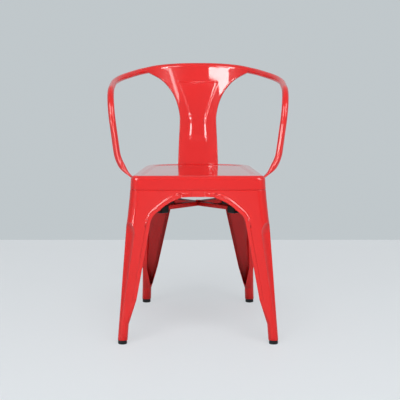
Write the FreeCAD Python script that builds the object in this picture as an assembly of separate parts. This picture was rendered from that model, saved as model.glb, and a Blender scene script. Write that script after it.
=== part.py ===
# Stacking armchair of pressed sheet steel with a bent tube for its arms and back.
# Millimetres. Front is toward -Y and +Z is up. The origin is on the floor, amid the feet.
import FreeCAD, Part
import math
import os
from FreeCAD import Vector

os.makedirs("parts", exist_ok=True)

# Sheet steel, and the gap left between pieces that are welded together
sheet = 1.2
weld_gap = 0.25

# Feet on the floor
front_foot_half_width = 202.0
rear_foot_half_width = 155.0
foot_pitch = 486.0
depth_centring = 0.99
foot_tube_diameter = 25.6
cap_diameter = 24.0
cap_height = 11.0
cap_plug_length = 16.0
cap_edge_radius = 2.0

# Seat pan, measured along its own plane
seat_height = 449.0
seat_tilt = 2.8
seat_front_setback = 18.5
seat_depth = 393.0
rear_bow = 24.0
seat_front_width = 359.6
seat_rear_width = 299.0
seat_edge_radius = 12.0
seat_front_corner = 24.0
seat_rear_corner = 85.0
skirt_height = 36.5
skirt_draft = 3.0
dish_margin = 24.0
dish_wall = 11.0
dish_depth = 2.2
dish_corner = 20.0
drain_hole_diameter = 9.0

# Legs
leg_corner_knee = 16.0
leg_corner_foot = 12.6
joggle_height = 2.6
wing_turn_top = 62.0
wing_turn_end = 135.0
front_knee_drop = 330.0
front_closed_drop = 397.0
rear_knee_drop = 313.0
rear_closed_drop = 380.0
closing_steps = 3
closing_gap_share = 0.97
closed_width = 26.4
flange_depth = 12.0
band_width = 9.0
band_raise = 1.8
band_raise_knee = 0.4
arch_cut_margin = 40.0
arch_below_knee = 1.1
least_radius = 0.2
flute_radius_top = 46.0
flute_radius_foot = 20.0
flute_depth_top = 19.5
flute_top_drop = 150.0
flute_below_knee = 35.0
flute_room = 6.0

# Arch in one wing of a leg: distance in from the leg's outer face, and drop below the seat
front_arch_end = (140.0, 57.0)
front_arch_shoulder = (106.5, 71.0)
front_arch_flank = (65.0, 108.5)
front_knee_width = 42.0
rear_arch_end = (112.0, 60.0)
rear_arch_shoulder = (98.0, 70.0)
rear_arch_flank = (80.0, 108.0)
rear_knee_width = 43.0
front_shoulder_radius = 95.0
rear_shoulder_radius = 60.0
flank_radius = 42.0
rail_drop = 55.5

# Arm and back tube, as the bends that a tube bender would make, from the front feet back
tube_diameter = 18.0
tube_wall = 1.5
tube_slope = 0.14
tube_rear_height = 705.5
back_bend_x = 122.0
back_bend_radius = 198.0
side_bend_x = 232.2
side_bend_setback = 301.0
side_bend_radius = 220.0
arm_bend_x = 238.5
arm_bend_setback = 112.5
arm_bend_radius = 84.0
low_bend_x = 214.4
low_bend_setback = 125.0
low_bend_rise = 11.5
low_bend_radius = 105.0

# The tube's pressed flat ends, welded down the outside of the skirt
flat_width = 26.6
flat_thickness = 6.0
flat_bend_radius = 15.0
flat_bend_drop = 15.6
flat_end_drop = 33.0
flattening_steps = 6

# Back splat: heights run up its leaning plane from the bend behind the seat, drops run down from the tube
splat_sheet = 1.5
splat_lean = 10.5
splat_bend_rise = 30.5
splat_standoff = 2.2
splat_foot_half = 57.5
splat_waist_half = 51.8
splat_flare_drop = 45.3
splat_flare_radius = 128.0
splat_tip_half = 146.0
splat_tip_drop = 16.3
splat_overrun = 60.0
splat_edge_margin = 30.0
splat_foot_corner = 9.0
splat_lip = 7.0
splat_tab_length = 22.0
collar_bulge = 0.3
collar_start = -25.0
collar_end = 150.0
relief_depth = 3.0
relief_draft = 42.0
relief_top_half = 57.0
relief_top_drop = 42.3
relief_shoulder_half = 52.0
relief_shoulder_drop = 64.3
relief_waist_half = 22.8
relief_waist_share = 0.49
relief_foot_half = 30.0
relief_foot_height = 69.0
relief_waist_radius = 100.0
relief_shoulder_radius = 60.0
relief_corner = 6.0

# Crossed braces under the seat, and the blocks that keep stacked chairs apart
brace_width = 24.0
brace_depth = 10.0
brace_drop = 91.0
brace_crossing = 212.0
brace_end_gap = 0.3
rivet_diameter = 8.0
rivet_head_diameter = 14.0
rivet_head_height = 3.0
rivet_crown_radius = 2.4
bumper_front_offset = 100.0
bumper_rear_offset = 67.0
bumper_length = 27.0
bumper_wall = 4.0
bumper_height = 18.0
bumper_corner = 3.0
over_cut = 1.0

# Worked out from the sizes above
tilt = math.radians(seat_tilt)
lean = math.radians(splat_lean)
y_front_feet = depth_centring - foot_pitch / 2
y_rear_feet = depth_centring + foot_pitch / 2
seat_origin = Vector(0, y_front_feet + seat_front_setback, seat_height)
skirt_slope = math.tan(math.radians(skirt_draft))
skirt_inset = sheet + weld_gap
rear_corner_depth = seat_depth - rear_bow
rear_flat_half = seat_rear_width / 2 - rear_arch_end[0]
bow_slope = rear_bow / rear_arch_end[0]
side_taper = (seat_front_width - seat_rear_width) / 2 / rear_corner_depth
beyond = 2 * (foot_pitch + seat_depth)
tube_radius = tube_diameter / 2
drop_leg_top = seat_edge_radius + sheet
drop_joggle_in = skirt_height + weld_gap
drop_joggle_out = drop_joggle_in + joggle_height


def blend(a, b, share):
    return a + (b - a) * share


def tip(shape):
    # turns a shape made on the level seat into its place above the floor
    placed = shape.copy()
    placed.rotate(Vector(0, 0, 0), Vector(1, 0, 0), -seat_tilt)
    placed.translate(seat_origin)
    return placed


def from_seat(x, y, z):
    # a point on the level seat, as it stands above the floor
    return Vector(x, seat_origin.y + y * math.cos(tilt) + z * math.sin(tilt),
                  seat_origin.z - y * math.sin(tilt) + z * math.cos(tilt))


def to_seat(x, y, z):
    # a point above the floor, as the level seat sees it
    dy = y - seat_origin.y
    dz = z - seat_origin.z
    return Vector(x, dy * math.cos(tilt) - dz * math.sin(tilt),
                  dy * math.sin(tilt) + dz * math.cos(tilt))


def mirrored(shape):
    return shape.mirror(Vector(0, 0, 0), Vector(1, 0, 0))


def union(shapes):
    return shapes[0].multiFuse(shapes[1:]).removeSplitter()


def main_solid(shape):
    # trimming can leave crumbs beside the real piece
    return sorted(shape.Solids, key=lambda s: s.Volume)[-1]


def round_corner(before, corner, after, radius):
    # where a rounded corner starts, is halfway and ends
    u = (before - corner).normalize()
    v = (after - corner).normalize()
    half = u.getAngle(v) / 2
    reach = radius / math.tan(half)
    bisector = (u + v).normalize()
    centre = corner + bisector * (radius / math.sin(half))
    return corner + u * reach, centre - bisector * radius, corner + v * reach


def fitted_radii(points, radii):
    # each radius as given, or less where two roundings would not fit on the run between them
    count = len(points)
    reaches = []
    for i, radius in enumerate(radii):
        u = (points[i - 1] - points[i]).normalize()
        v = (points[(i + 1) % count] - points[i]).normalize()
        reaches.append(radius / math.tan(u.getAngle(v) / 2) if radius > 0 else 0)
    shares = [1.0] * count
    for i in range(count):
        following = (i + 1) % count
        run = (points[following] - points[i]).Length
        needed = reaches[i] + reaches[following]
        if needed > run:
            shares[i] = min(shares[i], run / needed)
            shares[following] = min(shares[following], run / needed)
    return [radius * share for radius, share in zip(radii, shares)]


def closed_wire(points, radii, place):
    # closed outline through plane points, with each corner rounded by its own radius
    flat = [Vector(p[0], p[1], 0) for p in points]
    count = len(flat)
    fitted = fitted_radii(flat, radii)
    corners = []
    for i, corner in enumerate(flat):
        if fitted[i] > 0:
            corners.append(round_corner(flat[i - 1], corner, flat[(i + 1) % count], fitted[i]))
        else:
            corners.append((corner, None, corner))
    edges = []
    for i, (start, middle, end) in enumerate(corners):
        if middle is not None:
            edges.append(Part.Arc(place(start), place(middle), place(end)).toShape())
        following = corners[(i + 1) % count][0]
        if (following - end).Length > 1e-5:
            edges.append(Part.LineSegment(place(end), place(following)).toShape())
    return Part.Wire(edges)


def shifted_path(points, distance):
    # an open outline moved sideways to the left of its direction
    runs = [Vector(b[0] - a[0], b[1] - a[1], 0).normalize() for a, b in zip(points, points[1:])]
    normals = [Vector(-run.y, run.x, 0) for run in runs]
    moved = []
    for i, point in enumerate(points):
        before = normals[max(i - 1, 0)]
        after = normals[min(i, len(normals) - 1)]
        middle = (before + after).normalize()
        step = middle * (distance / middle.dot(after))
        moved.append((point[0] + step.x, point[1] + step.y))
    return moved


def shifted_outline(points, radii, distance):
    # a closed outline, given anticlockwise, grown outward by distance
    ring = [points[-1]] + list(points) + [points[0]]
    moved = shifted_path(ring, -distance)[1:-1]
    new_radii = []
    for i, radius in enumerate(radii):
        a, b, c = ring[i], ring[i + 1], ring[i + 2]
        turn = (b[0] - a[0]) * (c[1] - b[1]) - (b[1] - a[1]) * (c[0] - b[0])
        grown = radius + distance if turn > 0 else radius - distance
        new_radii.append(max(grown, least_radius) if radius > 0 else 0)
    return moved, new_radii


# Seat pan

def seat_outline(inset, drop):
    # rounded trapezoid with a bowed rear edge, some way below the seat's plane, moved in by inset
    spread = drop * skirt_slope
    flare = spread - inset
    front = seat_front_width / 2 + flare
    rear = seat_rear_width / 2 + flare
    corner_y = rear_corner_depth + flare + bow_slope * inset
    flat = rear_flat_half + spread
    middle_y = seat_depth + flare
    points = [(-front, -flare), (front, -flare), (rear, corner_y), (flat, middle_y),
              (-flat, middle_y), (-rear, corner_y)]
    front_corner = max(seat_front_corner - inset, dish_corner)
    rear_corner = max(seat_rear_corner - inset, dish_corner)
    radii = [front_corner] * 2 + [rear_corner, dish_corner, dish_corner, rear_corner]
    return closed_wire(points, radii, lambda p: Vector(p.x, p.y, -drop))


def seat_skin(inset, bottom_drop):
    # the pan's outer or inner skin as a filled block
    block = Part.makeLoft([seat_outline(inset, bottom_drop), seat_outline(inset, inset)], True, True)
    rim = [e for e in block.Edges if min(v.Point.z for v in e.Vertexes) > -inset - 1e-6]
    return block.makeFillet(seat_edge_radius - inset, rim)


def dish_tray(lower):
    # shallow tray pressed into the top, or the same tray one sheet lower
    rim = seat_outline(dish_margin - lower, lower)
    floor = seat_outline(dish_margin - lower + dish_wall, dish_depth + lower)
    above = seat_outline(dish_margin - lower, lower - 2 * sheet)
    tray = Part.makeLoft([floor, rim], True, True)
    return tray.fuse(Part.makeLoft([rim, above], True, True))


def make_seat():
    hollow = seat_skin(sheet, skirt_height + 1).cut(dish_tray(sheet))
    pan = seat_skin(0, skirt_height).cut(hollow).cut(dish_tray(0))
    hole = Part.makeCylinder(drain_hole_diameter / 2, seat_edge_radius * 2,
                             Vector(0, seat_depth / 2, -seat_edge_radius))
    return tip(main_solid(pan.cut(hole)))


# Legs and rails: each leg is an angle of sheet with its corner toward the chair's corner

class Leg:
    def __init__(self, front):
        self.front = front
        self.out = -1 if front else 1
        half = seat_front_width / 2 if front else seat_rear_width / 2
        edge = 0 if front else rear_corner_depth
        self.bow_slope = 0 if front else bow_slope
        self.knee_drop = front_knee_drop if front else rear_knee_drop
        self.closed_drop = front_closed_drop if front else rear_closed_drop
        self.top = Vector(half, edge, 0)
        self.brow = Vector(half + skirt_slope * skirt_height,
                           edge + self.out * skirt_slope * skirt_height, -skirt_height)
        foot_x = front_foot_half_width if front else rear_foot_half_width
        foot_y = y_front_feet if front else y_rear_feet
        self.sole = to_seat(foot_x, foot_y, 0)
        self.foot = Vector(self.sole.x + foot_tube_diameter / 2,
                           self.sole.y + self.out * foot_tube_diameter / 2, self.sole.z)
        self.corner_top = seat_front_corner if front else seat_rear_corner
        self.knee_width = front_knee_width if front else rear_knee_width
        if front:
            self.arch = [front_arch_flank, front_arch_shoulder, front_arch_end]
        else:
            self.arch = [rear_arch_flank, rear_arch_shoulder, rear_arch_end]
        self.shoulder_radius = front_shoulder_radius if front else rear_shoulder_radius
        self.reach = self.arch[-1][0]

    def corner(self, drop):
        # where the two outer faces would meet, before the corner is rounded
        if drop <= skirt_height:
            share = drop / skirt_height
            return self.top + (self.brow - self.top) * share
        share = (drop - skirt_height) / (-self.foot.z - skirt_height)
        return self.brow + (self.foot - self.brow) * share

    def radius(self, drop):
        share = max(drop - drop_joggle_out, 0) / (self.knee_drop - drop_joggle_out)
        return blend(self.corner_top, leg_corner_knee, min(share, 1))

    def follow(self, drop):
        # the wings follow the seat's outline at the top and square up lower down
        share = (drop - wing_turn_top) / (wing_turn_end - wing_turn_top)
        return 1 - min(max(share, 0), 1)

    def raised(self, drop):
        # how far the border stands out, less toward the knee
        share = (drop - wing_turn_end) / (self.knee_drop - wing_turn_end)
        return band_raise * blend(1, band_raise_knee, min(max(share, 0), 1))

    def end_point(self, drop, along, out):
        corner = self.corner(drop)
        return corner.x - along, corner.y + self.out * (out + self.bow_slope * self.follow(drop) * along)

    def side_point(self, drop, along, out):
        corner = self.corner(drop)
        return corner.x + out + self.out * side_taper * self.follow(drop) * along, corner.y - self.out * along

    def section(self, drop, low, high):
        # one level of the angle, between two offsets from its outer face
        corner = self.corner(drop)
        points = [self.end_point(drop, self.reach, high), (corner.x + high, corner.y + self.out * high),
                  self.side_point(drop, self.reach, high), self.side_point(drop, self.reach, low),
                  (corner.x + low, corner.y + self.out * low), self.end_point(drop, self.reach, low)]
        base = self.radius(drop)
        radii = [0, base + high, 0, 0, max(base + low, least_radius), 0]
        return closed_wire(points, radii, lambda p: Vector(p.x, p.y, -drop))

    def slab(self, inner, inner_raised=0, outer_raised=0):
        # the sheet, or a layer parallel to it, from under the seat to the knee
        sections = []
        drops = [drop_leg_top, drop_joggle_in, drop_joggle_out, wing_turn_top, wing_turn_end, self.knee_drop]
        for drop in drops:
            inset = skirt_inset if drop <= drop_joggle_in else 0
            low = inner + inner_raised * self.raised(drop) - inset
            high = outer_raised * self.raised(drop) - inset
            sections.append(self.section(drop, low, high))
        return Part.makeLoft(sections, True, True)

    def arch_edge(self, side):
        # the arch edge of one wing, from below the knee up to the wing's end
        flank = self.arch[0]
        lowest = (blend(flank[0], self.knee_width, arch_below_knee),
                  blend(flank[1], self.knee_drop, arch_below_knee))
        edge = []
        for along, drop in [lowest] + self.arch:
            corner = self.corner(drop)
            across = corner.y - self.out * along if side else corner.x - along
            edge.append((across, -drop))
        return edge

    def opening(self, side, grow):
        # everything under the arch of one wing, grown into the sheet
        inward = -self.out if side else -1
        path = shifted_path(self.arch_edge(side), inward * grow)
        far = path[-1][0] + inward * arch_cut_margin
        outline = path + [(far, path[-1][1]), (far, path[0][1])]
        radii = [0, flank_radius + grow, self.shoulder_radius + grow, 0, 0, 0]
        if side:
            start = max(self.foot.x, self.top.x) + arch_cut_margin
            end = min(self.foot.x, self.top.x) - arch_cut_margin
            wire = closed_wire(outline, radii, lambda p: Vector(start, p.x, p.y))
            return Part.Face(wire).extrude(Vector(end - start, 0, 0))
        levels = [self.out * self.foot.y, self.out * self.top.y]
        start = self.out * (max(levels) + arch_cut_margin)
        end = self.out * (min(levels) - arch_cut_margin)
        wire = closed_wire(outline, radii, lambda p: Vector(p.x, start, p.y))
        return Part.Face(wire).extrude(Vector(0, end - start, 0))

    def border(self, side):
        # raised border along the arch, its step, and the flange turned in
        outside = self.opening(side, 0)
        wide = self.opening(side, band_width + sheet).cut(outside)
        step = wide.cut(self.opening(side, band_width))
        rim = self.opening(side, sheet).cut(outside)
        return [self.slab(-sheet, 1, 1).common(wide), self.slab(-sheet, 0, 1).common(step),
                self.slab(-flange_depth, 0, 1).common(rim)]

    def foot_section(self, drop, wall, share):
        # one level of the leg's lower end, from channel to closed tube as share goes to 1
        corner = self.corner(drop)
        width = blend(self.knee_width, closed_width, share)
        low_x = corner.x - width + wall
        high_x = corner.x - wall
        near_y = corner.y - self.out * wall
        far_y = corner.y - self.out * (width - wall)
        outer = blend(leg_corner_knee, leg_corner_foot, share) - wall
        other = max(blend(sheet, leg_corner_foot, share) - wall, least_radius)
        points = [(low_x, near_y), (high_x, near_y), (high_x, far_y), (low_x, far_y)]
        return closed_wire(points, [other, outer, other, other], lambda p: Vector(p.x, p.y, -drop))

    def foot_levels(self):
        levels = []
        for step in range(closing_steps + 1):
            share = step / closing_steps
            levels.append((blend(self.knee_drop, self.closed_drop, share), share))
        return levels + [(-self.sole.z + cap_height, 1)]

    def closing_gap(self):
        # open inner corner of the channel, shrinking to nothing where the tube closes
        wires = []
        for share in [0, closing_gap_share]:
            drop = blend(self.knee_drop, self.closed_drop, share)
            corner = self.corner(drop)
            width = blend(self.knee_width, closed_width, share)
            size = (self.knee_width - flange_depth) * (1 - share)
            x = corner.x - width
            y = corner.y - self.out * width
            near_y = y - self.out * over_cut
            far_y = y + self.out * size
            points = [(x - over_cut, near_y), (x + size, near_y), (x + size, far_y), (x - over_cut, far_y)]
            wires.append(closed_wire(points, [0] * 4, lambda p: Vector(p.x, p.y, -drop)))
        return Part.makeLoft(wires, True, True)

    def lower_block(self, wall):
        return Part.makeLoft([self.foot_section(d, wall, s) for d, s in self.foot_levels()], True, True)

    def lower_end(self):
        return self.lower_block(0).cut(self.lower_block(sheet)).cut(self.closing_gap())

    def flute(self, skin):
        # the long hollow pressed into the corner: a cone that ends in a ball, outside the leg
        diagonal = Vector(1, self.out, 0).normalize()
        foot_depth = leg_corner_knee * (math.sqrt(2) - 1)
        top = self.corner(flute_top_drop) + diagonal * (flute_radius_top - flute_depth_top)
        foot_drop = self.knee_drop + flute_below_knee
        foot = self.corner(foot_drop) + diagonal * (flute_radius_foot - foot_depth)
        axis = top - foot
        length = axis.Length
        slope = math.asin((flute_radius_top - flute_radius_foot) / length)
        along = Vector(math.sin(slope), 0, math.cos(slope))
        normal = Vector(math.cos(slope), 0, -math.sin(slope))
        ball = flute_radius_top + skin
        lip = Vector(0, 0, length) + normal * ball
        low = normal * (flute_radius_foot + skin) - along * (flute_radius_foot / 2 / math.sin(slope))
        crown = Vector(0, 0, length + ball)
        turn = math.radians(45) - slope / 2
        halfway = Vector(ball * math.cos(turn), 0, length + ball * math.sin(turn))
        centre_low = Vector(0, 0, low.z)
        profile = Part.Wire([Part.LineSegment(centre_low, low).toShape(), Part.LineSegment(low, lip).toShape(),
                             Part.Arc(lip, halfway, crown).toShape(),
                             Part.LineSegment(crown, centre_low).toShape()])
        cone = Part.Face(profile).revolve(Vector(0, 0, 0), Vector(0, 0, 1), 360)
        cone.Placement = FreeCAD.Placement(foot, FreeCAD.Rotation(Vector(0, 0, 1), axis))
        return cone

    def make(self):
        angle = self.slab(-sheet)
        for side in [False, True]:
            angle = angle.cut(self.opening(side, band_width))
        body = union([angle, self.lower_end()] + self.border(False) + self.border(True))
        hollow = self.flute(0)
        skin = self.flute(sheet).cut(hollow)
        skin_top = skin.common(self.slab(-flute_depth_top - flute_room))
        skin_foot = skin.common(self.lower_block(0))
        leg = tip(union([body.cut(hollow), skin_top, skin_foot]))
        ground = Part.makeBox(beyond, beyond, beyond, Vector(-beyond / 2, -beyond / 2, cap_height - beyond))
        return main_solid(leg.cut(ground))

    def surroundings(self):
        # the leg's sheet and all that is outside it, at the height of the braces
        sections = []
        for drop in [wing_turn_top, wing_turn_end]:
            sections.append(self.section(drop, -sheet - brace_end_gap, brace_width))
        return Part.makeLoft(sections, True, True)

    def sole_axis(self):
        # a point of the foot tube's middle line at the floor, and its direction upward
        half = closed_width / 2
        places = []
        for drop in [self.closed_drop, -self.sole.z]:
            corner = self.corner(drop)
            places.append(from_seat(corner.x - half, corner.y - self.out * half, -drop))
        upward = (places[0] - places[1]).normalize()
        return places[1] - upward * (places[1].z / upward.z), upward


def make_cap(leg):
    # plastic glide: a flange under the tube and a plug up inside it
    foot, upward = leg.sole_axis()
    middle = foot + upward * (cap_height / 2)
    flange_height = cap_height - weld_gap
    flange = Part.makeCylinder(cap_diameter / 2, flange_height, Vector(middle.x, middle.y, 0))
    lower = [e for e in flange.Edges if e.BoundBox.ZMax < 0.01]
    flange = flange.makeFillet(cap_edge_radius, lower)
    plug_radius = (closed_width / 2 - sheet) * upward.z - weld_gap
    plug = Part.makeCylinder(plug_radius, cap_height / 2 + cap_plug_length, middle, upward)
    return main_solid(union([flange, plug]))


def rail_between(start_point, end_point):
    # flat apron between two wing ends, flanged inward along its lower edge
    walls = []
    wall_drops = [drop_leg_top, drop_joggle_in, drop_joggle_out, rail_drop]
    for low, drops in [(-sheet, wall_drops), (-flange_depth, [rail_drop - sheet, rail_drop])]:
        wires = []
        for drop in drops:
            inset = skirt_inset if drop <= drop_joggle_in else 0
            ring = [start_point(drop, -inset), end_point(drop, -inset),
                    end_point(drop, low - inset), start_point(drop, low - inset)]
            wires.append(Part.makePolygon([Vector(p[0], p[1], -drop) for p in ring + ring[:1]]))
        walls.append(Part.makeLoft(wires, True, True))
    return tip(union(walls))


def cross_rail(leg):
    # apron at the front or rear, from one leg to its mirror image
    def right(drop, out):
        return leg.end_point(drop, leg.reach + weld_gap, out)

    def left(drop, out):
        x, y = right(drop, out)
        return -x, y
    return rail_between(left, right)


def side_rail(front_leg, rear_leg):
    def front(drop, out):
        return front_leg.side_point(drop, front_leg.reach + weld_gap, out)

    def rear(drop, out):
        return rear_leg.side_point(drop, rear_leg.reach + weld_gap, out)
    return rail_between(front, rear)


# Arm and back tube

def splat_frame():
    # origin at the bend behind the seat's skirt, then the directions backward and upward
    skirt_foot = from_seat(0, seat_depth + skirt_slope * skirt_height, -skirt_height)
    base = Vector(0, skirt_foot.y + splat_standoff, skirt_foot.z + splat_bend_rise)
    back = Vector(0, math.cos(lean), -math.sin(lean))
    up = Vector(0, math.sin(lean), math.cos(lean))
    return base, back, up


def tube_standoff():
    return tube_radius + weld_gap + splat_sheet


def tube_rise():
    # distance up the splat's plane from its bend to the tube
    fall = tube_standoff() * math.sin(lean)
    return (tube_rear_height - splat_frame()[0].z + fall) / math.cos(lean)


def tube_corners():
    # the points that the tube would turn at if its bends were sharp
    base, back, up = splat_frame()
    rear = base + up * tube_rise() + back * tube_standoff()

    def sloped(x, setback):
        y = y_front_feet + setback
        return Vector(x, y, rear.z - tube_slope * (rear.y - y))
    low = Vector(low_bend_x, y_front_feet + low_bend_setback, seat_height + low_bend_rise)
    return [Vector(back_bend_x, rear.y, rear.z), sloped(side_bend_x, side_bend_setback),
            sloped(arm_bend_x, arm_bend_setback), low,
            beside_skirt(flat_bend_drop), beside_skirt(flat_end_drop)]


def beside_skirt(drop, further_back=0):
    # a point of the flattened end's middle line, on the outside of the skirt
    y = low_bend_setback - seat_front_setback + further_back
    x = seat_front_width / 2 - side_taper * y + skirt_slope * drop + weld_gap + flat_thickness / 2
    return from_seat(x, y, -drop)


def flipped(point):
    return Vector(-point.x, point.y, point.z)


def mid_bend(before, corner, after, radius):
    # halfway round a bend: the point, the direction there, and the corner that each half turns at
    start, middle, end = round_corner(before, corner, after, radius)
    direction = (end - start).normalize()
    into = (corner - before).normalize()
    half_reach = radius * math.tan(into.getAngle(direction) / 2)
    return middle, direction, middle - direction * half_reach, middle + direction * half_reach


def sweep(points, radii, face_at):
    # a section carried along straight runs and the tangent arcs between them
    solids = []

    def straight(start, end, direction):
        if (end - start).Length > 1e-5:
            solids.append(face_at(start, direction).extrude(end - start))
    here = points[0]
    for i, radius in enumerate(radii):
        start, middle, end = round_corner(points[i], points[i + 1], points[i + 2], radius)
        into = (points[i + 1] - points[i]).normalize()
        out = (points[i + 2] - points[i + 1]).normalize()
        straight(here, start, into)
        axis = into.cross(out).normalize()
        centre = start + axis.cross(into) * radius
        solids.append(face_at(start, into).revolve(centre, axis, math.degrees(into.getAngle(out))))
        here = end
    straight(here, points[-1], out)
    return union(solids)


def ring_face(outer, inner):
    # a disc, or a ring where inner is above zero, square to the path
    def face_at(place, direction):
        disc = Part.Face(Part.Wire(Part.makeCircle(outer, place, direction)))
        if inner > 0:
            disc = disc.cut(Part.Face(Part.Wire(Part.makeCircle(inner, place, direction))))
        return disc.Faces[0]
    return face_at


def back_path():
    # the tube's stretch across the back, past both back bends
    corners = tube_corners()
    start, middle, end = round_corner(flipped(corners[0]), corners[0], corners[1], back_bend_radius)
    return [flipped(end), flipped(corners[0]), corners[0], end]


def flat_wire(place, direction, wide_radius, thin_radius):
    # oval section square to the path, its long axis along the seat's side
    along_side = beside_skirt(flat_bend_drop, 1) - beside_skirt(flat_bend_drop)
    wide = (along_side - direction * along_side.dot(direction)).normalize()
    thin = direction.cross(wide)
    if wide_radius - thin_radius < 1e-6:
        return Part.Wire(Part.makeCircle(wide_radius, place, direction))
    oval = Part.Ellipse(place + wide * wide_radius, place + thin * thin_radius, place)
    return Part.Wire(oval.toShape())


def flattening(inset):
    # the stretch of tube that goes from round to flat, or the hollow in it
    back, side, arm, low, land, end = tube_corners()
    middle, direction, corner_above, corner_below = mid_bend(arm, low, land, low_bend_radius)
    into = (land - low).normalize()
    start, halfway, stop = round_corner(middle, corner_below, land, low_bend_radius)
    flat_start = round_corner(low, land, end, flat_bend_radius)[0]
    axis = direction.cross(into).normalize()
    centre = middle + axis.cross(direction) * low_bend_radius
    turn = direction.getAngle(into)
    arc_length = low_bend_radius * turn
    length = arc_length + (flat_start - stop).Length
    wires = []
    for step in range(flattening_steps + 1):
        travel = length * step / flattening_steps
        share = travel / length
        soft = share * share * (3 - 2 * share)
        angle = min(travel / low_bend_radius, turn)
        spin = FreeCAD.Rotation(axis, math.degrees(angle))
        place = centre + spin.multVec(middle - centre) + into * max(travel - arc_length, 0)
        wires.append(flat_wire(place, spin.multVec(direction), blend(tube_radius, flat_width / 2, soft) - inset,
                               blend(tube_radius, flat_thickness / 2, soft) - inset))
    return Part.makeLoft(wires, True, False), flat_start


def make_tube():
    back, side, arm, low, land, end = tube_corners()
    middle, direction, corner_above, corner_below = mid_bend(arm, low, land, low_bend_radius)
    half = [back, side, arm, corner_above, middle]
    points = [flipped(p) for p in reversed(half)] + half
    radii = [back_bend_radius, side_bend_radius, arm_bend_radius, low_bend_radius]
    round_part = sweep(points, list(reversed(radii)) + radii, ring_face(tube_radius, tube_radius - tube_wall))
    outside, flat_start = flattening(0)
    hollow, flat_start = flattening(tube_wall)

    def flat_face(place, along):
        return Part.Face(flat_wire(place, along, flat_width / 2, flat_thickness / 2))
    flat_part = sweep([flat_start, land, end], [flat_bend_radius], flat_face)
    ends = [outside.cut(hollow), flat_part]
    tube = union([round_part] + ends + [mirrored(piece) for piece in ends])
    return main_solid(tube.cut(tip(seat_skin(-weld_gap / 2, skirt_height * 2))))


# Back splat

def splat_curve():
    # half the flat middle, and the radius that follows the tube's back bends
    corners = tube_corners()
    start, middle, end = round_corner(flipped(corners[0]), corners[0], corners[1], back_bend_radius)
    base, backward, upward = splat_frame()
    depth = (start - middle).dot(backward)
    across = middle.x - start.x
    return start.x, (across * across + depth * depth) / (2 * depth)


def splat_layer(front, back):
    # plan of a layer of the splat's sheet, flat in the middle and curved forward with the tube
    flat, radius = splat_curve()
    centre_depth = tube_standoff() - radius
    spread = math.asin((splat_tip_half + splat_edge_margin) / radius)
    edges = []

    def arc_point(depth, angle, sign):
        reach = depth - centre_depth
        return Vector(sign * (flat + reach * math.sin(angle)), centre_depth + reach * math.cos(angle), 0)

    def line(a, b):
        edges.append(Part.LineSegment(a, b).toShape())

    def arc(depth, sign, first, last):
        half = (first + last) / 2
        edges.append(Part.Arc(arc_point(depth, first, sign), arc_point(depth, half, sign),
                              arc_point(depth, last, sign)).toShape())
    arc(front, -1, spread, 0)
    line(arc_point(front, 0, -1), arc_point(front, 0, 1))
    arc(front, 1, 0, spread)
    line(arc_point(front, spread, 1), arc_point(back, spread, 1))
    arc(back, 1, spread, 0)
    line(arc_point(back, 0, 1), arc_point(back, 0, -1))
    arc(back, -1, 0, spread)
    line(arc_point(back, spread, -1), arc_point(front, spread, -1))
    return Part.Face(Part.Wire(edges))


def splat_slab(front, back):
    return stand_splat(splat_layer(front, back).extrude(Vector(0, 0, tube_rise() + splat_overrun)))


def stand_splat(shape):
    # from flat drawing axes to the leaning plane behind the seat
    base, backward, upward = splat_frame()
    placed = shape.copy()
    placed.rotate(Vector(0, 0, 0), Vector(1, 0, 0), -splat_lean)
    placed.translate(base)
    return placed


def prism(points, radii):
    # an outline seen from the front, as deep as the splat's curve
    front = -splat_tip_half
    wire = closed_wire(points, radii, lambda p: Vector(p.x, front, p.y))
    return Part.Face(wire).extrude(Vector(0, -2 * front, 0))


def splat_side():
    # right edge from below the bend up to the tip that meets the tube
    slope = (splat_flare_drop - splat_tip_drop) / (splat_tip_half - splat_waist_half)
    return [(splat_foot_half, -splat_tab_length), (splat_waist_half, tube_rise() - splat_flare_drop),
            (splat_tip_half + splat_overrun, tube_rise() - splat_tip_drop + splat_overrun * slope)]


def splat_outline(shrink):
    path = shifted_path(splat_side(), shrink)
    right = path + [(path[-1][0], tube_rise() + splat_overrun)]
    left = [(-x, z) for x, z in reversed(right)]
    radii = [0, splat_flare_radius + shrink, 0, 0]
    return right + left, radii + list(reversed(radii))


def relief_outline():
    shoulder = tube_rise() - relief_shoulder_drop
    waist = blend(relief_foot_height, shoulder, relief_waist_share)
    half = [(relief_foot_half, relief_foot_height), (relief_waist_half, waist),
            (relief_shoulder_half, shoulder), (relief_top_half, tube_rise() - relief_top_drop)]
    radii = [relief_corner, relief_waist_radius, relief_shoulder_radius, relief_corner]
    return half + [(-x, z) for x, z in reversed(half)], radii + list(reversed(radii))


def relief_cutter(grow):
    # vase-shaped pocket whose walls slope with the draft
    points, radii = relief_outline()
    wires = []
    for depth in [-relief_depth, relief_depth + 2 * splat_sheet]:
        shift = grow - depth * math.tan(math.radians(relief_draft))
        moved, rounds = shifted_outline(points, radii, shift)
        wires.append(closed_wire(moved, rounds, lambda p: Vector(p.x, depth, p.y)))
    return stand_splat(Part.makeLoft(wires, True, True))


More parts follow.
